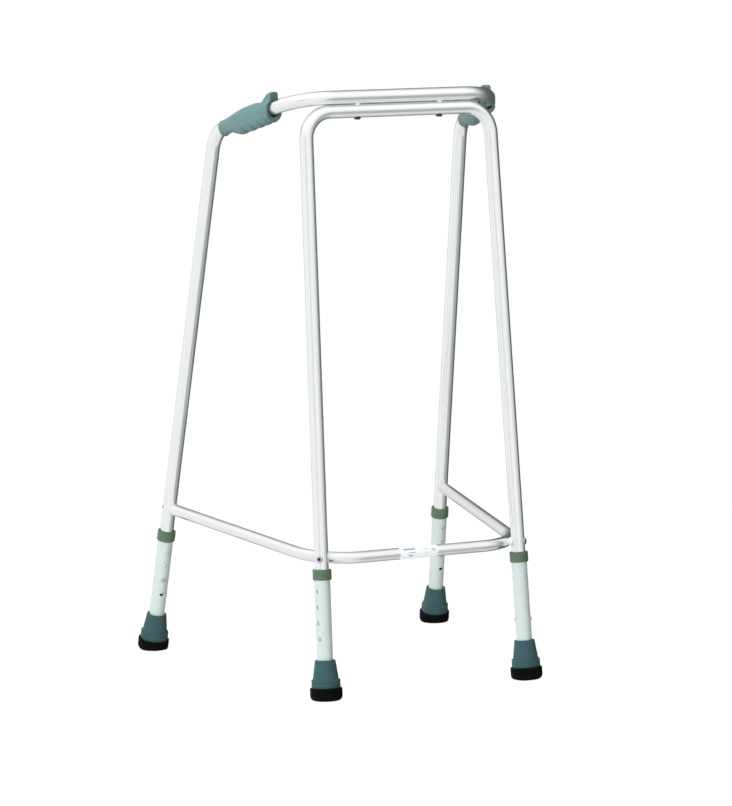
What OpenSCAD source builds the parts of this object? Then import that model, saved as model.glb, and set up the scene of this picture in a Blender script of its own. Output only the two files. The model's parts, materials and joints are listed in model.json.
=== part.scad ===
// Walking frame with four height-adjustable legs. Millimetres, +Z up, -Y is the front.
// The origin is on the floor, midway between the four feet.

/* [Stance] */
// Half the distance between the front feet
front_foot_x = 182; // [178:1:186]
// Half the distance between the rear feet
rear_foot_x = 269.3; // [265:1:273]
// Half the distance between the front and rear feet
foot_y = 255.5; // [250:1:261]
// How far a front leg leans towards the middle, per unit of height
front_lean_in = 0.018; // [0.012:0.002:0.024]
// How far a front leg leans backwards, per unit of height
front_lean_back = 0.109; // [0.10:0.003:0.118]
// How far a rear leg leans towards the middle, per unit of height
rear_lean_in = 0.048; // [0.042:0.002:0.054]
// How far a rear leg leans forwards, per unit of height
rear_lean_forward = 0.212; // [0.203:0.003:0.221]

/* [Upper frame] */
// Height of the top rail's centreline
rail_height = 956.8; // [945:1:965]
// Half the distance between the top rail's corners
rail_corner_x = 178.4; // [174:1:182]
// Height of the corner where a handle turns down into its rear leg
handle_rear_height = 893.4; // [885:1:900]
// Bend radius at the top rail's corners
rail_bend = 72; // [60:1:80]
// Bend radius between a handle and its rear leg
rear_bend = 48; // [40:1:60]
// Bend radius at the crossbar's corners
crossbar_bend = 44; // [38:1:60]
// Outer diameter of the upper tubes
tube_od = 22.2; // [22:0.1:22.4]
// Wall of the upper tubes
tube_wall = 1.5; // [1.2:0.1:1.8]

/* [Lower brace] */
// Outer diameter of the brace tube
brace_od = 19.05; // [18.5:0.05:19.5]
// Wall of the brace tube
brace_wall = 1.5; // [1.2:0.1:1.8]
// Height of the brace where it runs across the front
brace_front_height = 223; // [218:1:228]
// Height of the brace where it meets a rear leg
brace_rear_height = 249.3; // [244:1:254]
// Bend radius at the brace's front corners
brace_bend = 86; // [78:1:94]
// Thickness of the saddle between a front leg and the brace, at its thinnest
saddle_gap = 0.6; // [0.4:0.1:1.5]

/* [Leg adjustment] */
// Outer diameter of an extension tube
extension_od = 25.4; // [25.2:0.1:25.6]
// Wall of an extension tube
extension_wall = 1.2; // [1.0:0.1:1.25]
// Distance between adjustment holes
hole_pitch = 25.4; // [24:0.2:26]
// Number of adjustment holes
hole_count = 4; // [4:1:4]
// Radius of an adjustment hole
hole_r = 3.4; // [3.3:0.1:3.6]
// Distance along the leg from the floor to the middle of a front collar
front_collar_at = 201.1; // [198:1:206]
// Distance along the leg from the floor to the middle of a rear collar
rear_collar_at = 206.4; // [203:1:211]
// Distance from the middle of a collar down to the first hole
first_hole_drop = 26.5; // [25:0.5:29]
// Which hole holds the buttons of a front leg, counted from the collar
front_hole_used = 4; // [3:1:4]
// Which hole holds the buttons of a rear leg, counted from the collar
rear_hole_used = 3; // [3:1:4]
// Direction of a front leg's holes, in degrees from straight ahead towards the outside
front_hole_turn = 62; // [50:1:70]
// Direction of a rear leg's holes, in degrees from straight ahead towards the outside
rear_hole_turn = 6; // [0:1:15]

/* [Buttons] */
// Radius of a button
button_r = 3.12; // [3.0:0.01:3.2]
// How far a button stands out of the extension tube
button_proud = 1.6; // [1:0.1:2.2]
// Thickness of the spring strip
clip_t = 0.8; // [0.6:0.1:1]
// Width of the spring strip
clip_w = 6; // [5:0.5:7]

/* [Hand grips] */
// Length of a grip, along its tube
grip_l = 141.5; // [138:0.5:143]
// Distance from the rear corner's centreline to the grip's rear end
grip_from_corner = 26; // [26:0.5:29]
// Radius of the grip at its rear end
grip_end_r = 12.3; // [12.2:0.1:13]
// Radius of the grip at its sides
grip_side_r = 16.5; // [15.5:0.5:18]
// Height of the thumb guard above the tube's centreline
guard_r = 25.5; // [23:0.5:28]

/* [Collars and ferrules] */
// Outer radius of a collar
collar_r = 15.2; // [14.7:0.1:15.7]
// Height of a collar
collar_h = 17; // [15:0.5:18]
// Overall height of a ferrule, measured along its leg
ferrule_h = 64; // [61:1:66]
// Radius of the tread
tread_r = 26.1; // [25:0.1:27]
// Height of the tread
tread_h = 19.5; // [18:0.5:21]
// Radius of the shell's lower ring
ring_r = 23.3; // [22.6:0.1:23.8]
// Height of the shell's lower ring above the tread
ring_h = 13.3; // [12:0.5:15]
// Radius of the shell's cone at its foot
cone_foot_r = 20.8; // [20:0.1:21.5]
// Radius of the shell's cone at its rim
cone_rim_r = 16.5; // [15.5:0.1:17]

/* [Fixings] */
// Half the distance between the two screws that join rail and crossbar
rail_screw_x = 73.5; // [65:0.5:80]
// Radius of a screw's shank
screw_r = 2.95; // [2.5:0.05:3]
// Radius of a screw's head
head_r = 5.6; // [5:0.1:6]
// Middle of the label on the brace
label_x = -9; // [-20:1:20]
// Length of the label
label_l = 68; // [50:1:80]

/* [Hidden] */
$fn = 64;

touch = 0.05;                 // gap left between pieces that rest on each other
slip = 0.1;                   // gap at a collar's lip, which slides on its tube
bend_thinning = 0.02;
run_on = 0.4;
tube_r = tube_od / 2;
tube_in_r = tube_r - tube_wall;
brace_r = brace_od / 2;
brace_in_r = brace_r - brace_wall;
extension_r = extension_od / 2;
extension_in_r = extension_r - extension_wall;
crossbar_height = rail_height - tube_od - 4 * touch;
tube_below_button = 25;       // how far an upper tube runs on below its buttons
shell_floor_at = 8;           // the ferrule's inner levels, measured along the leg from the floor
washer_at = 12;
washer_t = 2;
extension_foot_at = washer_at + washer_t + touch;
lip_t = 3;
far = 120;                    // longer than any local cut

// ---- vectors and placing ----
function unit(v) = v / norm(v);
function flip_x(v) = [-v.x, v.y, v.z];
function towards(turn) = [sin(turn), -cos(turn), 0];

// Rigid matrix with local +Z along z_dir and local +X as close to x_hint as it can be
function pose(origin, z_dir, x_hint) =
    let (z = unit(z_dir), y = unit(cross(z, x_hint)), x = cross(y, z))
    [[x.x, y.x, z.x, origin.x], [x.y, y.y, z.y, origin.y], [x.z, y.z, z.z, origin.z], [0, 0, 0, 1]];

module both_sides() {
    children();
    mirror([1, 0, 0]) children();
}

module on_side(side) {
    if (side < 0) mirror([1, 0, 0]) children();
    else children();
}

// ---- the legs' centrelines, on the right-hand side ----
function front_axis(z) = [front_foot_x - front_lean_in * z, -foot_y + front_lean_back * z, z];
function rear_axis(z) = [rear_foot_x - rear_lean_in * z, foot_y - rear_lean_forward * z, z];
front_dir = unit([-front_lean_in, front_lean_back, 1]);
rear_dir = unit([-rear_lean_in, -rear_lean_forward, 1]);
front_button_at = front_collar_at - first_hole_drop - (front_hole_used - 1) * hole_pitch;
rear_button_at = rear_collar_at - first_hole_drop - (rear_hole_used - 1) * hole_pitch;

// A leg is [side, foot point, direction, hole direction, collar distance, button distance]
function front_leg(side) =
    [side, front_axis(0), front_dir, towards(front_hole_turn), front_collar_at, front_button_at];
function rear_leg(side) =
    [side, rear_axis(0), rear_dir, towards(rear_hole_turn), rear_collar_at, rear_button_at];
function collar_at(leg) = leg[4];
function button_at(leg) = leg[5];

// Local +Z runs up the leg from the floor, and local +X points out through its holes
module on_leg(leg) on_side(leg[0]) multmatrix(pose(leg[1], leg[2], leg[3])) children();

// ---- corners of the bent tubes, on the right-hand side ----
rail_corner = [rail_corner_x, front_axis(crossbar_height).y, rail_height];
handle_corner = rear_axis(handle_rear_height);
rear_tube_end = rear_axis(0) + rear_dir * (rear_button_at - tube_below_button);
crossbar_corner = front_axis(crossbar_height);
front_tube_end = front_axis(0) + front_dir * (front_button_at - tube_below_button);
handle_dir = unit(rail_corner - handle_corner);

// The brace turns behind each front leg, along the line that halves its corner. Each bolt is
// square to its leg, so it points up a little.
brace_rear = rear_axis(brace_rear_height);
brace_turn = 40;
bolt_dir = unit(towards(brace_turn) - front_dir * (towards(brace_turn) * front_dir));
brace_offset = tube_r + brace_r + saddle_gap;
leg_at_brace = front_axis(brace_front_height + brace_offset * bolt_dir.z);
brace_mid = leg_at_brace - bolt_dir * brace_offset;
function corner_reach(bend, turn) = bend / sin((180 - turn) / 2) - bend;
brace_corner = brace_mid + towards(brace_turn) * corner_reach(brace_bend, 2 * brace_turn);
brace_dir = unit(brace_rear - brace_corner);

function mirrored(points) = [for (i = [len(points) - 1:-1:0]) flip_x(points[i])];
function whole(points) = concat(mirrored(points), points);

// ---- bent tubes ----
function bend_angle(u, v) = acos(u * v);
function trim(bend, u, v) = bend * tan(bend_angle(u, v) / 2);

module straight(from, to, r, r_in) {
    multmatrix(pose(from, to - from, abs(unit(to - from).z) > 0.9 ? [1, 0, 0] : [0, 0, 1]))
        linear_extrude(norm(to - from)) ring(r, r_in);
}

module ring(r, r_in) {
    difference() {
        circle(r);
        if (r_in > 0) circle(r_in);
    }
}

// Tube along corner points, with a bend of its own radius at each inner corner. A bend is drawn
// thinner in its wall by bend_thinning each side, and the straights run on into it a little.
module bent_tube(points, bends, r, r_in = 0) {
    last = len(points) - 1;
    dirs = [for (i = [0:last - 1]) unit(points[i + 1] - points[i])];
    trims = [for (i = [0:last]) i == 0 || i == last ? 0 : trim(bends[i - 1], dirs[i - 1], dirs[i]) - run_on];
    for (i = [0:last - 1])
        straight(points[i] + dirs[i] * trims[i], points[i + 1] - dirs[i] * trims[i + 1], r, r_in);
    for (i = [1:last - 1]) {
        u = dirs[i - 1];
        v = dirs[i];
        inward = unit(v - u * (u * v));
        centre = points[i] - u * (trims[i] + run_on) + inward * bends[i - 1];
        multmatrix(pose(centre, cross(u, inward), -inward))
            rotate_extrude(angle = bend_angle(u, v)) translate([bends[i - 1], 0])
            ring(r - bend_thinning, r_in > 0 ? r_in + bend_thinning : 0);
    }
}

// Straight drill or shank on an axis, from one distance along it to another
module rod(origin, dir, r, from, to) {
    multmatrix(pose(origin, dir, [0, 0.3, 1])) translate([0, 0, from]) cylinder(r = r, h = to - from);
}

module leg_cut(leg, r) {
    on_leg(leg) translate([0, 0, button_at(leg)]) rotate([0, 90, 0])
        cylinder(r = r, h = 2 * tube_od, center = true);
}

// ---- frame tubes ----
module top_tube() {
    color("gainsboro") difference() {
        bent_tube(whole([rail_corner, handle_corner, rear_tube_end]),
            [rear_bend, rail_bend, rail_bend, rear_bend], tube_r, tube_in_r);
        both_sides() {
            translate([rail_screw_x, rail_corner.y, rail_height - tube_od])
                cylinder(r = rivet_r + touch, h = tube_od);
            rod(brace_rear, brace_dir, screw_r + slip, -tube_od, tube_od);
            leg_cut(rear_leg(1), button_r + touch);
        }
    }
}

module front_frame_tube() {
    color("gainsboro") difference() {
        bent_tube(whole([crossbar_corner, front_tube_end]),
            [crossbar_bend, crossbar_bend], tube_r, tube_in_r);
        both_sides() {
            translate([rail_screw_x, crossbar_corner.y, crossbar_height])
                cylinder(r = screw_r + slip, h = 2 * tube_od, center = true);
            rod(leg_at_brace, bolt_dir, screw_r + slip, -tube_od, tube_od);
            leg_cut(front_leg(1), button_r + touch);
        }
    }
}

// The rear ends are cut to sit against the rear legs
module lower_brace_tube() {
    color("whitesmoke") difference() {
        bent_tube(whole([brace_corner, brace_rear]), [brace_bend, brace_bend], brace_r, brace_in_r);
        both_sides() {
            rod(rear_axis(0), rear_dir, tube_r + touch, 0, 2 * rail_height / 3);
            rod(leg_at_brace, bolt_dir, screw_r + slip, -2 * brace_offset, 0);
        }
    }
}

// ---- hand grips ----
function clamp01(x) = min(1, max(0, x));
function ramp(a, b, x) = let (u = clamp01((x - a) / (b - a))) u * u * (3 - 2 * u);
palm_rise = 6.5;
neck_drop = 4;
neck_from_end = 26;
finger_rise = 6.7;
finger_depth = 1.3;
finger_pitch = 23;
first_finger_at = 52;
function grip_top(t) =
    grip_end_r + palm_rise * ramp(6, 72, t) - neck_drop * ramp(95, 117, t)
    + (guard_r - grip_end_r - palm_rise + neck_drop) * ramp(grip_l - neck_from_end, grip_l - 6, t);
function grip_under(t) =
    grip_end_r + finger_rise * ramp(24, 45, t)
    + finger_depth * cos(360 * (t - first_finger_at) / finger_pitch) * ramp(28, 44, t);
function grip_r(t, turn) =
    let (up = pow(max(0, cos(turn)), 2), down = pow(max(0, -cos(turn)), 2))
    let (guard = t > grip_l - neck_from_end ? up : 1)
    let (side = grip_end_r + (grip_side_r - grip_end_r) * ramp(0, 45, t))
    side * (1 - up - down) + (side + (grip_top(t) - side) * guard) * up + grip_under(t) * down;

// The front end is cut upright: towards it, a ring shears forwards as it rises
function sheared(t, height) = t + height * tan(asin(handle_dir.z)) * ramp(95, grip_l, t);

// Around the grip's wall: out along its surface, then back through the bore
grip_steps = 30;
grip_sides = 32;
bore_r = (tube_r + 2 * touch) / cos(180 / grip_sides);
mouth_r = 13.6;
mouth_depth = 9;
bend_room = 0.3;
bend_room_l = 12;
grip_stations = concat(
    [for (i = [0:grip_steps]) [i * grip_l / grip_steps, 0]],
    [[grip_l, mouth_r], [grip_l - mouth_depth, mouth_r], [grip_l - mouth_depth, bore_r]],
    [[bend_room_l, bore_r], [0, bore_r + bend_room]]);

module grip_body() {
    rings = len(grip_stations);
    points = [
        for (s = grip_stations) for (j = [0:grip_sides - 1])
            let (turn = 360 * j / grip_sides, r = s[1] > 0 ? s[1] : grip_r(s[0], turn))
            [r * cos(turn), r * sin(turn), sheared(s[0], r * cos(turn))]
    ];
    faces = [
        for (i = [0:rings - 1]) for (j = [0:grip_sides - 1])
            let (a = i * grip_sides, b = ((i + 1) % rings) * grip_sides, k = (j + 1) % grip_sides)
            [a + j, b + j, b + k, a + k]
    ];
    polyhedron(points, faces, convexity = 6);
}

module hand_grip(side) {
    color("cadetblue") on_side(side)
        multmatrix(pose(handle_corner + handle_dir * grip_from_corner, handle_dir, [0, 0, 1]))
        grip_body();
}

// ---- leg extensions ----
module leg_extension(leg) {
    color("whitesmoke") on_leg(leg) difference() {
        translate([0, 0, extension_foot_at])
            linear_extrude(collar_at(leg) + collar_h / 2 - lip_t - extension_foot_at - touch)
            ring(extension_r, extension_in_r);
        for (i = [0:hole_count - 1])
            translate([0, 0, collar_at(leg) - first_hole_drop - i * hole_pitch]) rotate([0, 90, 0])
                cylinder(r = hole_r, h = 2 * extension_od, center = true);
    }
}

// Ring over the top of the extension, whose lip slides on the upper tube
module collar(leg) {
    edge = 1.4;
    low = -collar_h / 2;
    high = collar_h / 2;
    color("darkseagreen") on_leg(leg) translate([0, 0, collar_at(leg)]) rotate_extrude() polygon([
        [extension_r + touch, low], [collar_r - edge, low],
        for (a = [-75:15:-15]) [collar_r - edge + edge * cos(a), low + edge + edge * sin(a)],
        [collar_r, low + edge], [collar_r, high - edge / 2], [collar_r - edge / 2, high],
        [tube_r + slip, high], [tube_r + slip, high - lip_t], [extension_r + touch, high - lip_t]
    ]);
}

// ---- ferrules ----
module above_floor(leg) {
    difference() {
        on_leg(leg) children();
        translate([0, 0, -far]) cube(2 * [front_foot_x + far, foot_y + far, far], center = true);
    }
}

module ferrule_shell(leg) {
    groove = 0.6;
    ring_top = tread_h + ring_h;
    color("cadetblue") on_leg(leg) rotate_extrude() polygon([
        [0, shell_floor_at], [ring_r, shell_floor_at],
        [ring_r, tread_h + 1], [ring_r, ring_top - 4 - groove], [ring_r - groove, ring_top - 4],
        [ring_r, ring_top - 4 + groove], [ring_r, ring_top - 1], [ring_r - 0.8, ring_top],
        [cone_foot_r, ring_top + 0.8], [cone_rim_r, ferrule_h - 0.8], [cone_rim_r - 0.8, ferrule_h],
        [extension_r + touch, ferrule_h], [extension_r + touch, washer_at - touch], [0, washer_at - touch]
    ]);
}

// The tread is cut level with the floor, because its leg leans
module ferrule_tread(leg) {
    edge = 5.5;
    low = -1.5;
    color("dimgray") above_floor(leg) rotate_extrude() polygon([
        [0, low], [tread_r - edge, low],
        for (a = [-75:15:0]) [tread_r - edge + edge * cos(a), low + edge + edge * sin(a)],
        [tread_r, tread_h - 1], [tread_r - 1, tread_h], [ring_r + touch, tread_h],
        [ring_r + touch, shell_floor_at - touch], [0, shell_floor_at - touch]
    ]);
}

module ferrule_washer(leg) {
    color("silver") on_leg(leg) translate([0, 0, washer_at])
        cylinder(r = extension_r - 2 * touch, h = washer_t);
}

// ---- spring buttons ----
foot_r = 4.4;
foot_t = 1.1;
foot_out = sqrt(tube_in_r * tube_in_r - foot_r * foot_r) - touch;

// end is 1 for the button on the hole side of the leg and -1 for the one opposite
module button(leg, end) {
    tip = extension_r + button_proud;
    dome = 2.2;
    color("khaki") on_leg(leg) translate([0, 0, button_at(leg)]) rotate([0, 90 * end, 0])
        rotate_extrude() polygon([
            [0, foot_out - foot_t], [foot_r, foot_out - foot_t], [foot_r, foot_out], [button_r, foot_out],
            for (a = [0:15:75]) [button_r * cos(a), tip - dome + dome * sin(a)],
            [0, tip]
        ]);
}

// Bent strip inside the upper tube that pushes both buttons out
clip_tail = 6;
clip_loop_r = 4.4;
clip_loop_at = 26;
clip_out = foot_out - foot_t - touch;
function clip_line(inset) = [
    [-clip_out + inset, -clip_tail], [-clip_out + inset, foot_r],
    for (a = [180:-15:0]) [(clip_loop_r - inset) * cos(a), clip_loop_at + (clip_loop_r - inset) * sin(a)],
    [clip_out - inset, foot_r], [clip_out - inset, -clip_tail]
];
function backwards(list) = [for (i = [len(list) - 1:-1:0]) list[i]];

module spring_clip(leg) {
    color("darkgray") on_leg(leg) translate([0, 0, button_at(leg)]) rotate([90, 0, 0])
        linear_extrude(clip_w, center = true) polygon(concat(clip_line(0), backwards(clip_line(clip_t))));
}

// ---- fixings ----
rivet_r = 4.2;
rivet_l = 11;
head_h = 3.4;
nut_r = 5.7;
nut_h = 5;
nut_run_out = 0.9;            // of a bolt past its nut
saddle_r = 7;
saddle_wing = 3.5;            // how far a saddle reaches round each tube

// Domed head with its seat at 0, and its shank running along -Z
module screw(shank_l) {
    rotate_extrude() polygon([
        [0, -shank_l], [screw_r, -shank_l], [screw_r, 0], [head_r, 0], [head_r, head_h * 0.35],
        for (a = [15:15:75]) [head_r * cos(a), head_h * (0.35 + 0.65 * sin(a))], [0, head_h]
    ]);
}

module rail_screws() {
    seat = crossbar_height - tube_r - touch;
    color("dimgray") both_sides() translate([rail_screw_x, crossbar_corner.y, seat])
        rotate([180, 0, 0]) screw(tube_od + 8);
}

// Sleeve nuts set in the lower wall of the rail
module rail_rivet_nuts() {
    low = rail_height - tube_r + 0.3;
    color("silver") both_sides() translate([rail_screw_x, rail_corner.y, low])
        linear_extrude(rivet_l) ring(rivet_r, screw_r + touch);
}

module rail_saddles() {
    middle = (rail_height + crossbar_height) / 2;
    rail_saddle_r = 5.5;
    color("white") both_sides() difference() {
        translate([rail_screw_x, rail_corner.y, middle]) cylinder(r = rail_saddle_r, h = 5, center = true);
        translate([rail_screw_x, rail_corner.y, middle]) cylinder(r = rivet_r + slip, h = far, center = true);
        for (z = [rail_height, crossbar_height])
            translate([rail_screw_x, rail_corner.y, z]) rotate([0, 90, 0])
                cylinder(r = tube_r + touch, h = far, center = true);
    }
}

curve_room = 0.6;             // for the nuts' flat faces, as the brace curves where it is bolted

module at_brace_joint() {
    both_sides() multmatrix(pose(leg_at_brace, bolt_dir, [0, 0, 1])) children();
}

module brace_bolts() {
    color("dimgray") at_brace_joint() translate([0, 0, tube_r + touch])
        screw(tube_r + brace_offset + brace_r + curve_room + nut_h + nut_run_out);
}

module brace_nuts() {
    color("dimgray") at_brace_joint() translate([0, 0, -brace_offset - brace_r - nut_h - curve_room])
        difference() {
            cylinder(r = nut_r, h = nut_h, $fn = 6);
            translate([0, 0, -1]) cylinder(r = screw_r + touch, h = nut_h + 2);
        }
}

// Small double-hollow spacers between each front leg and the brace
module brace_saddles() {
    color("white") both_sides() difference() {
        rod(leg_at_brace, bolt_dir, saddle_r, -tube_r - saddle_gap - saddle_wing, saddle_wing - tube_r);
        rod(leg_at_brace, bolt_dir, screw_r + slip, -far, far);
        rod(front_axis(0), front_dir, tube_r + touch, 0, rail_height / 2);
        bent_tube(whole([brace_corner, brace_rear]), [brace_bend, brace_bend], brace_r + touch);
    }
}

rear_lean_room = 1;           // for a rear screw's head, which isn't square to its leaning leg
plug_l = 20;
plug_inset = 4;               // from the leg's wall

module rear_brace_screws() {
    color("dimgray") both_sides() multmatrix(pose(brace_rear, brace_dir, [0, 0, 1]))
        translate([0, 0, tube_r + rear_lean_room]) screw(tube_od + plug_inset + plug_l - 6);
}

// Plugs in the brace's ends, which the rear screws bite into
module rear_brace_plugs() {
    color("darkslategray") both_sides() multmatrix(pose(brace_rear, -brace_dir, [0, 0, 1]))
        translate([0, 0, tube_r + plug_inset]) linear_extrude(plug_l)
        ring(brace_in_r - touch, screw_r + touch);
}

module brace_label() {
    label_t = 0.25;
    color("white") translate([label_x, brace_corner.y, brace_front_height]) rotate([0, 90, 0])
        linear_extrude(label_l, center = true) ring(brace_r + touch + label_t, brace_r + touch);
}

top_tube();
front_frame_tube();
lower_brace_tube();
hand_grip(-1);  // hand_grip_left
hand_grip(1);  // hand_grip_right
leg_extension(front_leg(-1));  // leg_extension_front_left
leg_extension(front_leg(1));  // leg_extension_front_right
leg_extension(rear_leg(-1));  // leg_extension_rear_left
leg_extension(rear_leg(1));  // leg_extension_rear_right
collar(front_leg(-1));  // collar_front_left
collar(front_leg(1));  // collar_front_right
collar(rear_leg(-1));  // collar_rear_left
collar(rear_leg(1));  // collar_rear_right
ferrule_shell(front_leg(-1));  // ferrule_shell_front_left
ferrule_shell(front_leg(1));  // ferrule_shell_front_right
ferrule_shell(rear_leg(-1));  // ferrule_shell_rear_left
ferrule_shell(rear_leg(1));  // ferrule_shell_rear_right
ferrule_tread(front_leg(-1));  // ferrule_tread_front_left
ferrule_tread(front_leg(1));  // ferrule_tread_front_right
ferrule_tread(rear_leg(-1));  // ferrule_tread_rear_left
ferrule_tread(rear_leg(1));  // ferrule_tread_rear_right
ferrule_washer(front_leg(-1));  // ferrule_washer_front_left
ferrule_washer(front_leg(1));  // ferrule_washer_front_right
ferrule_washer(rear_leg(-1));  // ferrule_washer_rear_left
ferrule_washer(rear_leg(1));  // ferrule_washer_rear_right
spring_clip(front_leg(-1));  // spring_clip_front_left
spring_clip(front_leg(1));  // spring_clip_front_right
spring_clip(rear_leg(-1));  // spring_clip_rear_left
spring_clip(rear_leg(1));  // spring_clip_rear_right
button(front_leg(-1), 1);  // button_front_left_outer
button(front_leg(-1), -1);  // button_front_left_inner
button(front_leg(1), 1);  // button_front_right_outer
button(front_leg(1), -1);  // button_front_right_inner
button(rear_leg(-1), 1);  // button_rear_left_front
button(rear_leg(-1), -1);  // button_rear_left_back
button(rear_leg(1), 1);  // button_rear_right_front
button(rear_leg(1), -1);  // button_rear_right_back
rail_screws();
rail_rivet_nuts();
rail_saddles();
brace_bolts();
brace_saddles();
brace_nuts();
rear_brace_screws();
rear_brace_plugs();
brace_label();
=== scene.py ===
"""Looks of the walking frame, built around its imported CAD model. Metres, +Z up, -Y is the front."""

import json
import math

import bmesh
import bpy
from mathutils import Matrix, Vector


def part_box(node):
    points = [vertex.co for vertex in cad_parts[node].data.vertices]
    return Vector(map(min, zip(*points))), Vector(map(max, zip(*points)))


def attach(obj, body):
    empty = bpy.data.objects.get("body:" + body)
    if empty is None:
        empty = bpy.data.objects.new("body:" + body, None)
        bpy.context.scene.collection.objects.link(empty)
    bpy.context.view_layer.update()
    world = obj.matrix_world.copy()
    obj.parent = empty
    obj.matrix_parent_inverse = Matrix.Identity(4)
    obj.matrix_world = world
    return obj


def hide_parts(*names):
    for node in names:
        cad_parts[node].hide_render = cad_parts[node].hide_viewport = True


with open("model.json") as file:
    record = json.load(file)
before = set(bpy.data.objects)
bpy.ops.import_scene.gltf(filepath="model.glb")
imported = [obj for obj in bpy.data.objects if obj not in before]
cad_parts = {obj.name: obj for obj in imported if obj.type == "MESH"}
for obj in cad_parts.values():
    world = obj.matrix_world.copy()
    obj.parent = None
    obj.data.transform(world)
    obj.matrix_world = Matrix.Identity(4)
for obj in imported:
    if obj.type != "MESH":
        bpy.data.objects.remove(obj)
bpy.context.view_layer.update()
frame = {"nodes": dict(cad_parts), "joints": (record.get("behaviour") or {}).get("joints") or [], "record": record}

MM = 0.001
LEGS = ("front_left", "front_right", "rear_left", "rear_right")
BUTTON_ENDS = {"front": ("outer", "inner"), "rear": ("front", "back")}
JOINTS = {j["name"]: j for j in frame["joints"]}
MOUNTS = {m["name"]: m for m in frame["record"]["mounts"]}

# ---------------------------------------------------------------- camera and stage
CAMERA_AT = Vector((-2.822, -5.8615, 1.342))
CAMERA_TURN = math.radians(25.82)     # from +Y towards +X
CAMERA_PITCH = math.radians(7.92)     # downwards
CAMERA_ROLL = math.radians(-0.25)
CAMERA_LENS = 176.16                  # on a 36 mm high sensor
FLOOR_RADIUS = 1.9
FLOOR_FADE = (0.55, 0.98)             # shares of its radius between which the floor fades out
FLOOR_COVER = 0.08                    # what the camera sees of it: feet let down through it still show
FLOOR_COLOUR, FLOOR_GLOW = (0.9, 0.905, 0.905, 1), 0.16
BACKDROP_COLOUR, BACKDROP_STRENGTH = (0.955, 0.96, 0.96, 1), 1.05
AMBIENT = (0.50, 0.52, 0.54, 1)


def add_object(name, data):
    obj = bpy.data.objects.new(name, data)
    bpy.context.scene.collection.objects.link(obj)
    return obj


def make_camera():
    data = bpy.data.cameras.new("camera")
    data.sensor_fit = "VERTICAL"
    data.sensor_height = 36
    data.lens = CAMERA_LENS
    data.clip_end = 100
    camera = add_object("camera", data)
    turn = Matrix.Rotation(-CAMERA_TURN, 4, "Z") @ Matrix.Rotation(math.pi / 2 - CAMERA_PITCH, 4, "X")
    camera.matrix_world = Matrix.Translation(CAMERA_AT) @ turn @ Matrix.Rotation(CAMERA_ROLL, 4, "Z")
    bpy.context.scene.camera = camera


def new_material(name):
    material = bpy.data.materials.new(name)
    material.use_nodes = True
    nodes = material.node_tree.nodes
    return material, nodes, material.node_tree.links, nodes["Principled BSDF"]


def span(nodes, links, value, low_in, high_in, low=0, high=1, smooth=False):
    """Carry a value from one range to another, held at both ends."""
    node = nodes.new("ShaderNodeMapRange")
    if smooth:
        node.interpolation_type = "SMOOTHSTEP"
    for socket, number in (("From Min", low_in), ("From Max", high_in), ("To Min", low), ("To Max", high)):
        node.inputs[socket].default_value = number
    links.new(value, node.inputs["Value"])
    return node.outputs["Result"]


def combine(nodes, links, operation, first, second):
    node = nodes.new("ShaderNodeMath")
    node.operation = operation
    links.new(first, node.inputs[0])
    links.new(second, node.inputs[1])
    return node.outputs["Value"]


def make_floor():
    """A pale disc that fades out at its rim, so that it has no edge."""
    bpy.ops.mesh.primitive_circle_add(vertices=128, radius=FLOOR_RADIUS, fill_type="NGON")
    floor = bpy.context.object
    floor.name = "floor"
    material, nodes, links, shader = new_material("floor_pale")
    shader.inputs["Base Color"].default_value = FLOOR_COLOUR
    shader.inputs["Roughness"].default_value = 0.9
    shader.inputs["Emission Color"].default_value = (1, 1, 1, 1)
    shader.inputs["Emission Strength"].default_value = FLOOR_GLOW
    where = nodes.new("ShaderNodeTexCoord")
    length = nodes.new("ShaderNodeVectorMath")
    length.operation = "LENGTH"
    links.new(where.outputs["Object"], length.inputs[0])
    fade = span(nodes, links, length.outputs["Value"],
                *(FLOOR_RADIUS * share for share in FLOOR_FADE), 1, 0, smooth=True)
    ray = nodes.new("ShaderNodeLightPath")
    cover = span(nodes, links, ray.outputs["Is Camera Ray"], 0, 1, 1, FLOOR_COVER)
    links.new(combine(nodes, links, "MULTIPLY", fade, cover), shader.inputs["Alpha"])
    floor.data.materials.append(material)
    floor.visible_glossy = False


def heading(azimuth, elevation):
    """Direction at degrees round from the front towards +X, and degrees up."""
    azimuth, elevation = math.radians(azimuth), math.radians(elevation)
    flat = math.cos(elevation)
    return Vector((flat * math.sin(azimuth), -flat * math.cos(azimuth), math.sin(elevation)))


# what the tubes mirror: (azimuth, elevation, full within, gone by, colour), all in degrees
STUDIO_PATCHES = (
    (38, -22, 6, 34, (0.40, 0.46, 0.39)),         # dim floor in front, to the right
    (-50, 4, 3, 15, (0.72, 0.75, 0.77)),          # stand beside the camera
    (120, -2, 28, 80, (0.09, 0.11, 0.09)),        # black drape, right and behind
)
STUDIO_RAMP = (                                   # colour at the sine of an elevation, from -1 to 1
    (-1.0, (0.84, 0.85, 0.85)), (-0.3, (0.93, 0.94, 0.95)), (0.3, (0.97, 0.98, 1.00)),
    (0.5, (1.10, 1.10, 1.09)), (1.0, (1.12, 1.12, 1.12)),
)


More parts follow.
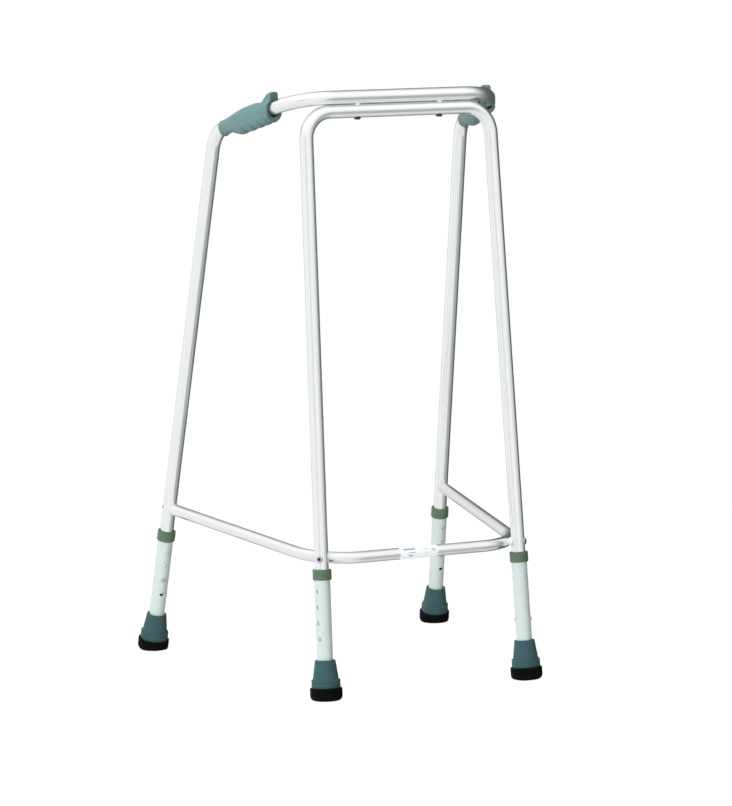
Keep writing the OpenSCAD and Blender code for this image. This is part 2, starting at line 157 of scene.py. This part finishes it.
def make_world():
    """A bright studio with dimmer patches, seen only in reflections; the backdrop itself is even."""
    world = bpy.data.worlds.new("studio")
    bpy.context.scene.world = world
    world.use_nodes = True
    nodes, links = world.node_tree.nodes, world.node_tree.links
    nodes.clear()
    where = nodes.new("ShaderNodeTexCoord")
    split = nodes.new("ShaderNodeSeparateXYZ")
    links.new(where.outputs["Generated"], split.inputs[0])

    height = nodes.new("ShaderNodeValToRGB")
    ramp = height.color_ramp
    ramp.interpolation = "EASE"
    while len(ramp.elements) < len(STUDIO_RAMP):
        ramp.elements.new(0.5)
    for element, (rise, colour) in zip(ramp.elements, STUDIO_RAMP):
        element.position = (rise + 1) / 2
        element.color = (*colour, 1)
    links.new(span(nodes, links, split.outputs["Z"], -1, 1), height.inputs["Fac"])

    colour = height.outputs["Color"]
    for azimuth, elevation, inner, outer, patch in STUDIO_PATCHES:
        dot = nodes.new("ShaderNodeVectorMath")
        dot.operation = "DOT_PRODUCT"
        dot.inputs[1].default_value = heading(azimuth, elevation)
        links.new(where.outputs["Generated"], dot.inputs[0])
        near = span(nodes, links, dot.outputs["Value"],
                    math.cos(math.radians(outer)), math.cos(math.radians(inner)), smooth=True)
        mix = nodes.new("ShaderNodeMixRGB")
        mix.inputs["Color2"].default_value = (*patch, 1)
        links.new(near, mix.inputs["Fac"])
        links.new(colour, mix.inputs["Color1"])
        colour = mix.outputs["Color"]

    studio = nodes.new("ShaderNodeBackground")
    links.new(colour, studio.inputs["Color"])
    ambient = nodes.new("ShaderNodeBackground")
    ambient.inputs["Color"].default_value = AMBIENT
    backdrop = nodes.new("ShaderNodeBackground")
    backdrop.inputs["Color"].default_value = BACKDROP_COLOUR
    backdrop.inputs["Strength"].default_value = BACKDROP_STRENGTH
    ray = nodes.new("ShaderNodeLightPath")
    shown = ambient.outputs[0]
    for kind, background in (("Is Glossy Ray", studio), ("Is Camera Ray", backdrop)):
        mix = nodes.new("ShaderNodeMixShader")
        links.new(ray.outputs[kind], mix.inputs["Fac"])
        links.new(shown, mix.inputs[1])
        links.new(background.outputs[0], mix.inputs[2])
        shown = mix.outputs[0]
    out = nodes.new("ShaderNodeOutputWorld")
    links.new(shown, out.inputs["Surface"])


LIGHTS = (                                        # name, place, aim, width and power
    ("key", (-4.4, -1.8, 2.6), (0, 0, 0.5), 2.4, 360),
    ("fill", (1.2, -4.6, 2.5), (0, 0, 0.5), 2.4, 45),
    ("top", (0, 0.6, 4.5), (0, 0, 0), 3.0, 130),
)


def make_light(name, at, aim, size, power):
    data = bpy.data.lights.new(name, "AREA")
    data.shape = "DISK"
    data.size = size
    data.energy = power
    light = add_object(name, data)
    light.location = at
    light.rotation_euler = (Vector(aim) - Vector(at)).to_track_quat("-Z", "Y").to_euler()
    light.visible_glossy = False


# ---------------------------------------------------------------- materials
CLOUD_SPREAD = (0.35, 0.65)       # what most of a noise lies between
DRAWN_LINES = (1, 1, 0.02)        # a noise drawn out along a tube


def noise(nodes, links, scale, detail, stretch=(1, 1, 1)):
    where = nodes.new("ShaderNodeTexCoord")
    place = nodes.new("ShaderNodeMapping")
    place.inputs["Scale"].default_value = stretch
    links.new(where.outputs["Object"], place.inputs["Vector"])
    texture = nodes.new("ShaderNodeTexNoise")
    texture.inputs["Scale"].default_value = scale
    texture.inputs["Detail"].default_value = detail
    links.new(place.outputs["Vector"], texture.inputs["Vector"])
    return texture.outputs["Fac"]


def clouded(name, scale, light, shade, rough, smoother, rougher):
    """Material whose colour and roughness drift a little with a soft noise."""
    material, nodes, links, shader = new_material(name)
    cloud = noise(nodes, links, scale, 3)
    mix = nodes.new("ShaderNodeMixRGB")
    mix.inputs["Color1"].default_value = (*light, 1)
    mix.inputs["Color2"].default_value = (*shade, 1)
    links.new(cloud, mix.inputs["Fac"])
    links.new(mix.outputs["Color"], shader.inputs["Base Color"])
    sheen = span(nodes, links, cloud, *CLOUD_SPREAD, rough - smoother, rough + rougher)
    links.new(sheen, shader.inputs["Roughness"])
    return material, nodes, links, shader


def add_bump(nodes, links, shader, value, depth):
    bump = nodes.new("ShaderNodeBump")
    bump.inputs["Strength"].default_value = 1
    bump.inputs["Distance"].default_value = depth * MM
    links.new(value, bump.inputs["Height"])
    links.new(bump.outputs["Normal"], shader.inputs["Normal"])


def aluminium(name, light, shade, rough, metal=1.0):
    """Drawn and anodised tube: fine lines along it, a soft sheen and slight patches."""
    material, nodes, links, shader = clouded(name, 14, light, shade, rough, 0.03, 0.04)
    shader.inputs["Metallic"].default_value = metal
    lines = noise(nodes, links, 900, 2, DRAWN_LINES)
    grain = noise(nodes, links, 2600, 1)
    add_bump(nodes, links, shader, combine(nodes, links, "ADD", lines, grain), 0.006)
    return material


def moulded(name, light, shade, rough, grain_depth, grain_scale=1500, spec=0.5):
    """Moulded plastic or rubber with a fine spark-eroded grain, its depth in millimetres."""
    material, nodes, links, shader = clouded(name, 35, light, shade, rough, 0.05, 0.06)
    shader.inputs["Specular IOR Level"].default_value = spec
    add_bump(nodes, links, shader, noise(nodes, links, grain_scale, 2), grain_depth)
    return material


def plated(name, light, shade, rough):
    """Plated steel with a slightly cloudy surface."""
    material, nodes, links, shader = clouded(name, 220, light, shade, rough, 0.05, 0.1)
    shader.inputs["Metallic"].default_value = 1
    add_bump(nodes, links, shader, noise(nodes, links, 1800, 1), 0.01)
    return material


MATERIALS = {
    "frame_tube": aluminium("anodised_tube", (0.94, 0.945, 0.95), (0.90, 0.91, 0.915), 0.2),
    "brace_tube": aluminium("anodised_brace", (0.91, 0.91, 0.915), (0.87, 0.875, 0.88), 0.27),
    "extension_tube": aluminium("anodised_extension", (0.50, 0.565, 0.535), (0.465, 0.53, 0.502), 0.44,
                                metal=0.5),
    "grip": moulded("grip_vinyl", (0.088, 0.158, 0.155), (0.076, 0.138, 0.136), 0.46, 0.02, spec=0.35),
    "collar": moulded("collar_plastic", (0.054, 0.094, 0.052), (0.044, 0.080, 0.043), 0.42, 0.012),
    "ferrule_shell": moulded("ferrule_slate", (0.017, 0.050, 0.056), (0.013, 0.042, 0.048), 0.5, 0.02,
                             spec=0.4),
    "ferrule_tread": moulded("tread_rubber", (0.0012, 0.0015, 0.0012), (0.002, 0.0022, 0.002), 0.62, 0.04,
                             grain_scale=900, spec=0.04),
    "washer": plated("zinc", (0.6, 0.6, 0.6), (0.5, 0.5, 0.5), 0.35),
    "spring_steel": plated("spring_steel", (0.42, 0.42, 0.43), (0.34, 0.34, 0.35), 0.3),
    "button": plated("button_yellow_zinc", (0.78, 0.68, 0.38), (0.66, 0.58, 0.34), 0.32),
    "fixing": plated("dark_zinc", (0.12, 0.13, 0.12), (0.08, 0.09, 0.08), 0.35),
    "rivet_nut": plated("bright_zinc", (0.6, 0.6, 0.6), (0.5, 0.5, 0.5), 0.3),
    "saddle": moulded("saddle_white", (0.78, 0.79, 0.80), (0.72, 0.73, 0.74), 0.45, 0.01),
    "plug": moulded("plug_black", (0.02, 0.02, 0.02), (0.03, 0.03, 0.03), 0.5, 0.02),
    "label": moulded("label_film", (0.61, 0.62, 0.625), (0.58, 0.59, 0.595), 0.3, 0.002),
}
PRINT_BLUE = moulded("label_print_blue", (0.16, 0.24, 0.31), (0.13, 0.20, 0.27), 0.35, 0.002)
PRINT_PALE = moulded("label_print_pale", (0.43, 0.43, 0.44), (0.40, 0.40, 0.41), 0.35, 0.002)
PRINT_GREY = moulded("label_print_grey", (0.26, 0.26, 0.27), (0.23, 0.23, 0.24), 0.35, 0.002)
# painted shade: a near-black material for the sheet laid inside each screw socket, where only shade falls
SOCKET_PAINTED_SHADE = moulded("socket_painted_shade", (0.01, 0.01, 0.01), (0.015, 0.015, 0.015), 0.6, 0.01, spec=0.1)


# ---------------------------------------------------------------- shapes
ROUNDING_STEPS = 6


def mirror(side_name):
    """What a point or direction of the right side is multiplied by on either side."""
    return Vector((-1 if side_name == "left" else 1, 1, 1))


def smoothstep(low, high, value):
    share = min(1.0, max(0.0, (value - low) / (high - low)))
    return share * share * (3 - 2 * share)


def axes(origin, along, hint):
    """Matrix whose +Z runs along a direction, with +X as near hint as it can be."""
    z = Vector(along).normalized()
    y = z.cross(Vector(hint)).normalized()
    x = y.cross(z)
    return Matrix.Translation(origin) @ Matrix((x, y, z)).transposed().to_4x4()


def rounded_outline(corners):
    """Closed outline through (x, y, radius) corners, each rounded by its own radius."""
    points = []
    for i, (x, y, radius) in enumerate(corners):
        here = Vector((x, y))
        before = (Vector(corners[i - 1][:2]) - here).normalized()
        after = (Vector(corners[(i + 1) % len(corners)][:2]) - here).normalized()
        if radius == 0:
            points.append(here)
            continue
        half = math.acos(max(-1.0, min(1.0, before.dot(after)))) / 2
        reach = radius / math.tan(half)
        centre = here + (before + after).normalized() * (radius / math.sin(half))
        first, last = here + before * reach - centre, here + after * reach - centre
        sweep = math.pi - 2 * half
        for k in range(ROUNDING_STEPS + 1):
            share = sweep * k / ROUNDING_STEPS
            arm = first * math.sin(sweep - share) + last * math.sin(share)
            points.append(centre + arm / math.sin(sweep))
    return points


def tube_mesh(name, stations, sides, place):
    """Closed mesh around an axis: place(station, turn) gives a point for each station of a closed loop."""
    points = [place(s, 2 * math.pi * j / sides) for s in stations for j in range(sides)]
    rings = len(stations)
    faces = []
    for i in range(rings):
        here, there = i * sides, ((i + 1) % rings) * sides
        for j in range(sides):
            k = (j + 1) % sides
            faces.append((here + j, here + k, there + k, there + j))
    mesh = bpy.data.meshes.new(name)
    mesh.from_pydata(points, [], faces)
    clean = bmesh.new()
    clean.from_mesh(mesh)
    bmesh.ops.remove_doubles(clean, verts=clean.verts, dist=1e-6)
    bmesh.ops.dissolve_degenerate(clean, edges=clean.edges, dist=1e-7)
    bmesh.ops.recalc_face_normals(clean, faces=clean.faces)
    clean.to_mesh(mesh)
    clean.free()
    for face in mesh.polygons:
        face.use_smooth = True
    return add_object(name, mesh)


def lathe(name, corners, matrix, on_floor=False, sides=96):
    """Solid turned from rounded (radius, height, rounding) corners in millimetres, on a matrix's +Z."""
    def place(station, turn):
        radius, height = station * MM
        at = matrix @ Vector((radius * math.cos(turn), radius * math.sin(turn), height))
        if on_floor:
            at.z = max(at.z, 0.0)
        return at
    return tube_mesh(name, rounded_outline(corners), sides, place)


def finish_piece(obj, body, slot, *replaced, material=None):
    obj.data.materials.append(material or MATERIALS[slot])
    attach(obj, body)
    if replaced:
        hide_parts(*replaced)


# ---------------------------------------------------------------- legs
COLLAR_AT = {"front": 201.1, "rear": 206.4}       # along the leg from the floor, millimetres
# profiles as (radius, height, rounding) corners in millimetres: the collar's heights are from its
# middle, the ferrule's from the floor
COLLAR = (
    (12.75, -8.5, 0.3), (15.2, -8.5, 1.5), (15.2, 8.5, 0.9),
    (11.2, 8.5, 0.3), (11.2, 5.5, 0), (12.75, 5.5, 0),
)
FERRULE_SHELL = (
    (0, 8, 0), (23.3, 8, 0), (23.3, 28.0, 0.3), (22.5, 28.7, 0.3), (23.3, 29.4, 0.3),
    (23.3, 32.8, 1.3), (20.8, 33.6, 0.9), (16.5, 64, 0.9), (12.75, 64, 0.5),
    (12.75, 11.95, 0), (0, 11.95, 0),
)
FERRULE_TREAD = (                                 # its sole is pressed flat by the floor
    (0, -1.5, 0), (26.1, -1.5, 8.5), (26.1, 19.5, 1.3), (23.35, 19.5, 0.3),
    (23.35, 7.95, 0), (0, 7.95, 0),
)


def leg_matrix(leg):
    """A leg's frame: origin where its axis meets the floor, +Z up along it, +X out through its holes."""
    up = -Vector(JOINTS[f"{leg}_leg_length"]["axis"])
    first = BUTTON_ENDS[leg.split("_")[0]][0]
    out = -Vector(JOINTS[f"button_{leg}_{first}_press"]["axis"])
    return axes(Vector(MOUNTS[f"foot_{leg}"]["pos_m"]), up, out)


def make_collar(leg):
    at = COLLAR_AT[leg.split("_")[0]]
    corners = [(radius, at + height, rounding) for radius, height, rounding in COLLAR]
    collar = lathe(f"collar_ring_{leg}", corners, leg_matrix(leg))
    finish_piece(collar, f"leg_{leg}", "collar", f"collar_{leg}")


def make_ferrule(leg):
    matrix = leg_matrix(leg)
    cone = lathe(f"ferrule_cone_{leg}", FERRULE_SHELL, matrix)
    finish_piece(cone, f"leg_{leg}", "ferrule_shell", f"ferrule_shell_{leg}")
    foot = lathe(f"ferrule_foot_{leg}", FERRULE_TREAD, matrix, on_floor=True)
    finish_piece(foot, f"leg_{leg}", "ferrule_tread", f"ferrule_tread_{leg}")


# ---------------------------------------------------------------- hand grips
HANDLE_REAR = (226.42, 66.10, 893.4)              # corner over a rear leg, millimetres, right side
HANDLE_FRONT = (178.4, -153.65, 956.8)            # corner at the rail
GRIP_FROM_CORNER = 26.0
GRIP_L = 141.5
GRIP_SIDES = 144
GRIP_END_R, GRIP_SIDE_R = 12.3, 16.5
PALM_RISE, NECK_DROP = 6.5, 4.0
GUARD_R, GUARD_HALF_W = 25.5, 8.6
GUARD_SQUARE, GUARD_JOIN = 7, 9                   # how square the guard is, and how sharply it joins
RIB_H, RIB_PITCH = 0.35, 3.6
FINGER_RISE, FINGER_DEPTH, FINGER_PITCH, FIRST_FINGER = 6.6, 2.0, 23.0, 52.0
LOBE_SKEW, LOBE_POWER = 0.55, 0.7
MOUTH_R, MOUTH_DROP, MOUTH_DEPTH, BORE_R = 11.35, 2.9, 9.0, 11.16
LIP_TURN, LIP_H = math.radians(119), 1.5
REAR_EDGE_R, FRONT_EDGE_R = 1.0, 1.6
# where each feature comes in along the grip, millimetres from its rear end
SIDES_WIDEN, PALM_RISES, NECK_DROPS = (0, 45), (6, 72), (95, 117)
FINGERS_RISE, LOBES_START, LIP_STARTS, FRONT_SHEARS = (24, 45), (28, 44), (16, 30), (95, GRIP_L)
GUARD_RISES = (GRIP_L - 26, GRIP_L - 7)
RIBS_START, RIBS_END = (GRIP_L - 25, GRIP_L - 20), (GRIP_L - 9, GRIP_L - 7)
END_STATIONS, MIDDLE_FROM, STATION_STEP = (0.0, 0.05, 0.2, 0.45, 0.75, 1.1, 1.6), 2.2, 0.9


def grip_top(t):
    return GRIP_END_R + PALM_RISE * smoothstep(*PALM_RISES, t) - NECK_DROP * smoothstep(*NECK_DROPS, t)


def grip_under(t):
    turn = 2 * math.pi * (t - FIRST_FINGER) / FINGER_PITCH
    lobe = 0.5 + 0.5 * math.cos(turn - LOBE_SKEW * math.sin(turn))
    lobes = FINGER_DEPTH * (2 * lobe ** LOBE_POWER - 1) * smoothstep(*LOBES_START, t)
    return GRIP_END_R + FINGER_RISE * smoothstep(*FINGERS_RISE, t) + lobes


def guard_radius(t, turn):
    """A flat-topped thumb guard, which climbs in shallow steps from the neck; 0 away from it."""
    rise = smoothstep(*GUARD_RISES, t)
    if rise == 0 or math.cos(turn) <= 0.05:
        return 0.0
    top = GRIP_END_R + PALM_RISE - NECK_DROP
    height = top + (GUARD_R - top) * rise
    on_ramp = smoothstep(*RIBS_START, t) * (1 - smoothstep(*RIBS_END, t))
    height += RIB_H * math.cos(2 * math.pi * t / RIB_PITCH) * on_ramp
    up, across = abs(math.cos(turn) / height), abs(math.sin(turn) / GUARD_HALF_W)
    return (up ** GUARD_SQUARE + across ** GUARD_SQUARE) ** (-1 / GUARD_SQUARE)


def grip_radius(t, turn):
    """Grip surface at a distance along it, turned from straight up."""
    up = max(0.0, math.cos(turn)) ** 2
    down = max(0.0, -math.cos(turn)) ** 2
    side = GRIP_END_R + (GRIP_SIDE_R - GRIP_END_R) * smoothstep(*SIDES_WIDEN, t)
    radius = side * (1 - up - down) + grip_top(t) * up + grip_under(t) * down
    tilt = abs(math.atan2(math.sin(turn), math.cos(turn)))
    radius += LIP_H * smoothstep(LIP_TURN - 0.05, LIP_TURN + 0.02, tilt) * smoothstep(*LIP_STARTS, t)
    guard = guard_radius(t, turn)
    return (radius ** GUARD_JOIN + guard ** GUARD_JOIN) ** (1 / GUARD_JOIN)


def sheared(t, height):
    """The front end is cut upright: towards it, a ring shears forwards as it rises."""
    climb = (HANDLE_FRONT[2] - HANDLE_REAR[2]) / math.dist(HANDLE_REAR, HANDLE_FRONT)
    return t + height * math.tan(math.asin(climb)) * smoothstep(*FRONT_SHEARS, t)


def edge_draw(distance, radius):
    """How far a surface draws in at a distance from an end rounded by a radius."""
    if distance >= radius:
        return 0.0
    return radius - math.sqrt(radius * radius - (radius - distance) ** 2)


def grip_stations():
    """Along the surface, closer together at the ends, then back through the mouth and the bore."""
    count = int((GRIP_L - 2 * MIDDLE_FROM) / STATION_STEP) + 1
    middle = [MIDDLE_FROM + STATION_STEP * i for i in range(count)]
    along = [*END_STATIONS, *middle, *(GRIP_L - e for e in reversed(END_STATIONS))]
    inside = [(GRIP_L, MOUTH_R + 0.5), (GRIP_L - 0.5, MOUTH_R), (GRIP_L - MOUTH_DEPTH, MOUTH_R),
              (GRIP_L - MOUTH_DEPTH, BORE_R), (12.0, BORE_R), (0.0, BORE_R + 0.3)]
    return [(t, None) for t in along] + inside


def make_grip(side_name):
    flip = mirror(side_name)
    rear, front = Vector(HANDLE_REAR) * flip * MM, Vector(HANDLE_FRONT) * flip * MM
    along = (front - rear).normalized()
    matrix = axes(rear + along * GRIP_FROM_CORNER * MM, along, (0, 0, 1))

    def place(station, turn):
        t, radius = station
        if radius is None:
            draw = edge_draw(t, REAR_EDGE_R) + edge_draw(GRIP_L - t, FRONT_EDGE_R)
            radius = grip_radius(t, turn) - draw
        elif radius >= MOUTH_R:
            radius += MOUTH_DROP * max(0.0, -math.cos(turn)) ** 1.5
        height = radius * math.cos(turn)
        return matrix @ (Vector((height, radius * math.sin(turn), sheared(t, height))) * MM)

    grip = tube_mesh(f"moulded_grip_{side_name}", grip_stations(), GRIP_SIDES, place)
    finish_piece(grip, "frame", "grip", f"hand_grip_{side_name}")


# ---------------------------------------------------------------- fixings and label
FRONT_FOOT, FRONT_UP = Vector((182, -255.5, 0)), Vector((-0.018, 0.109, 1))   # right side, millimetres
BRACE_TURN, BRACE_OFFSET, BRACE_HEIGHT = math.radians(40), 21.225, 223
TUBE_R, BOLT_L = 11.1, 48.35
HEAD_R, HEAD_H, HEAD_EDGE, SHANK_R, SHANK_BEVEL = 5.6, 3.4, 0.35, 2.95, 0.6   # edge: share of the head
# the last two: thickness of the near-black sheet that paints shade in each screw socket, and how far below the
# socket's rim it stops
SOCKET_R, SOCKET_DEPTH, SHADE_SHEET_T, SHADE_SHEET_DROP = 2.6, 1.7, 0.1, 0.35
SCREW_SIDES = 48
RAIL_SCREW_AT = (73.5, -153.65, 923.25)
RAIL_SCREW_L = 30.2
LABEL_R = 9.85
PRINT_T, PRINT_STEPS = 0.04, 8
# printed bars: (left, right, lower turn, upper turn, material), in millimetres and degrees from the front
LABEL_PRINT = (
    (-37, -16, 38, 55, PRINT_BLUE), (-29, -17, 6, 13, PRINT_GREY), (-28, -21, -26, -10, PRINT_GREY),
    (-3, 7, 34, 43, PRINT_PALE), (-1, 7, -10, -4, PRINT_PALE), (13, 20, 12, 40, PRINT_PALE),
)


def make_screw(name, matrix, shank, node, slot):
    """Screw with a domed head seated at 0 and facing +Z, and a near-black sheet inside its socket: painted shade
    in the recess.
    """
    dome = [(HEAD_R * math.cos(math.radians(a)),
             HEAD_H * (HEAD_EDGE + (1 - HEAD_EDGE) * math.sin(math.radians(a))), 0)
            for a in range(6, 61, 6)]
    rim = HEAD_H * (HEAD_EDGE + (1 - HEAD_EDGE) * math.sqrt(1 - (SOCKET_R / HEAD_R) ** 2))
    floor = rim - SOCKET_DEPTH
    corners = [(0, -shank, 0), (SHANK_R - SHANK_BEVEL, -shank, 0), (SHANK_R, SHANK_BEVEL - shank, 0),
               (SHANK_R, 0, 0), (HEAD_R, 0, 0.2), (HEAD_R, HEAD_H * HEAD_EDGE, 0), *dome,
               (SOCKET_R, rim, 0), (SOCKET_R, floor, 0), (0, floor, 0)]
    finish_piece(lathe(name, corners, matrix, sides=SCREW_SIDES), "frame", slot, node)
    # near-black sheet lining the socket: painted shade in the recess
    shade_sheet = [(0, floor, 0), (SOCKET_R, floor, 0), (SOCKET_R, rim - SHADE_SHEET_DROP, 0),
             (SOCKET_R - SHADE_SHEET_T, rim - SHADE_SHEET_DROP, 0), (SOCKET_R - SHADE_SHEET_T, floor + SHADE_SHEET_T, 0),
             (0, floor + SHADE_SHEET_T, 0)]
    finish_piece(lathe(f"{name}_socket", shade_sheet, matrix, sides=SCREW_SIDES), "frame", slot, node,
                 material=SOCKET_PAINTED_SHADE)


def make_brace_bolt(side_name):
    up = FRONT_UP.normalized()
    out = Vector((math.sin(BRACE_TURN), -math.cos(BRACE_TURN), 0))
    out = (out - up * out.dot(up)).normalized()
    at = FRONT_FOOT + FRONT_UP * (BRACE_HEIGHT + BRACE_OFFSET * out.z) + out * (TUBE_R + 0.05)
    flip = mirror(side_name)
    make_screw(f"brace_bolt_{side_name}", axes(at * flip * MM, out * flip, (0, 0, 1)), BOLT_L,
               "brace_bolts", "rivet_nut")


def make_rail_screw(side_name):
    at = Vector(RAIL_SCREW_AT) * mirror(side_name) * MM
    make_screw(f"rail_screw_{side_name}", axes(at, (0, 0, -1), (1, 0, 0)), RAIL_SCREW_L,
               "rail_screws", "fixing")


def make_print(index, left, right, low, high, material):
    """Thin printed bar that lies round the front of the label."""
    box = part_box("brace_label")
    middle = (Vector(box[0]) + Vector(box[1])) / 2
    proud = LABEL_R + PRINT_T
    points, faces = [], []
    for k in range(PRINT_STEPS + 1):
        turn = math.radians(low + (high - low) * k / PRINT_STEPS)
        for x, radius in ((left, LABEL_R), (left, proud), (right, proud), (right, LABEL_R)):
            points.append((x * MM, middle.y - radius * MM * math.cos(turn),
                           middle.z + radius * MM * math.sin(turn)))
    for k in range(PRINT_STEPS):
        for j in range(4):
            a, b = 4 * k + j, 4 * k + (j + 1) % 4
            faces.append((a, b, b + 4, a + 4))
    faces += [(3, 2, 1, 0), tuple(4 * PRINT_STEPS + j for j in range(4))]
    mesh = bpy.data.meshes.new(f"label_print_{index}")
    mesh.from_pydata(points, [], faces)
    finish_piece(add_object(mesh.name, mesh), "frame", "label", material=material)


def dress_cad_nodes():
    slots = {s["node"]: s["material_slot"] for s in frame["record"]["subparts"]}
    for name, obj in frame["nodes"].items():
        obj.data.materials.clear()
        obj.data.materials.append(MATERIALS[slots[name]])


def build():
    make_camera()
    make_floor()
    make_world()
    for light in LIGHTS:
        make_light(*light)
    dress_cad_nodes()
    for leg in LEGS:
        make_collar(leg)
        make_ferrule(leg)
    for side_name in ("left", "right"):
        make_grip(side_name)
        make_brace_bolt(side_name)
        make_rail_screw(side_name)
    for index, bar in enumerate(LABEL_PRINT):
        make_print(index, *bar)


build()
bpy.context.scene.view_settings.view_transform = "Standard"
